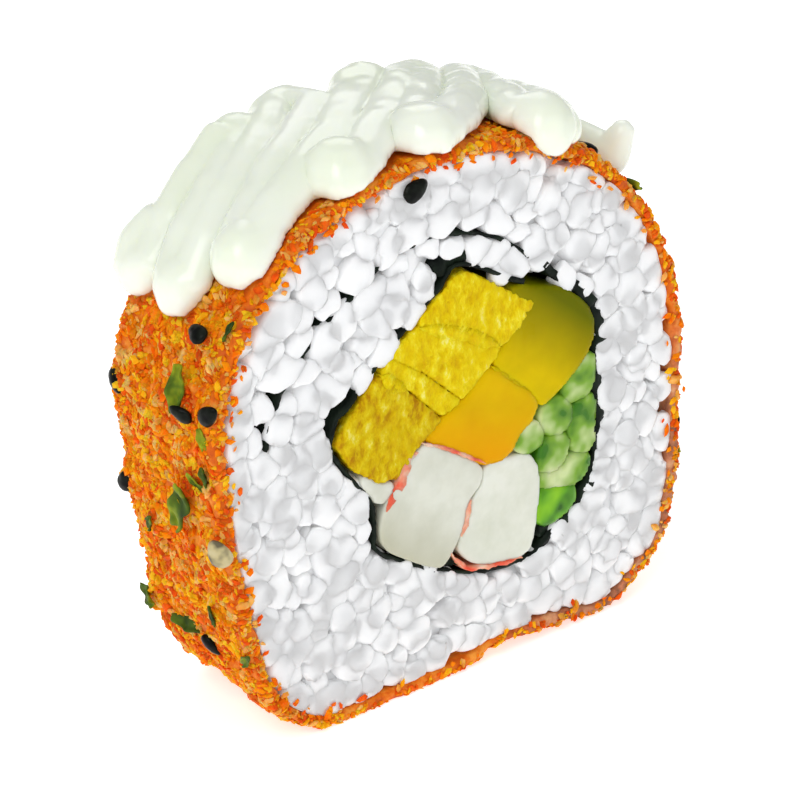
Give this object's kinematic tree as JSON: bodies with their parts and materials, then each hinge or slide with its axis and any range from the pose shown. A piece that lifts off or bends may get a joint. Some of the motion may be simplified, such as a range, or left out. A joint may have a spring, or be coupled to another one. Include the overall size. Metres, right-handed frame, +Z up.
{
  "type": "uramaki roll",
  "caption": "Thick slice of a rice-outside sushi roll with a crumb coating, seaweed, sliced fillings and a piped creamy sauce on top.",
  "frame": {"origin": "on the table, under the middle of the whole slice's bounding box", "axes": "+Z up from the flat side it stands on; +Y along the roll towards the rear cut face; the front cut face looks along -Y; +X to the right of the front face"},
  "size_m": [0.0562, 0.0208, 0.0562],
  "materials": {
    "crumb_coating": "crumbly, matte",
    "rice": "moist, soft sheen",
    "nori": "dark, slightly moist",
    "omelette": "soft, matte",
    "radish": "wet, translucent",
    "crab": "moist",
    "cucumber": "wet",
    "cucumber_skin": "wet",
    "sauce": "glossy, creamy"
  },
  "bodies": {
    "root": {"crumb_coating": "crumb_coating", "rice": "rice", "nori": "nori", "omelette_top": "omelette", "omelette_middle": "omelette", "omelette_sliver": "omelette", "omelette_bottom": "omelette", "radish_right": "radish", "radish_left": "radish", "crab_small": "crab", "crab_middle": "crab", "crab_right": "crab", "cucumber_1": "cucumber", "cucumber_2": "cucumber", "cucumber_3": "cucumber", "cucumber_4": "cucumber", "cucumber_5": "cucumber", "cucumber_6": "cucumber", "cucumber_skin": "cucumber_skin", "sauce": "sauce"}
  },
  "joints": []
}
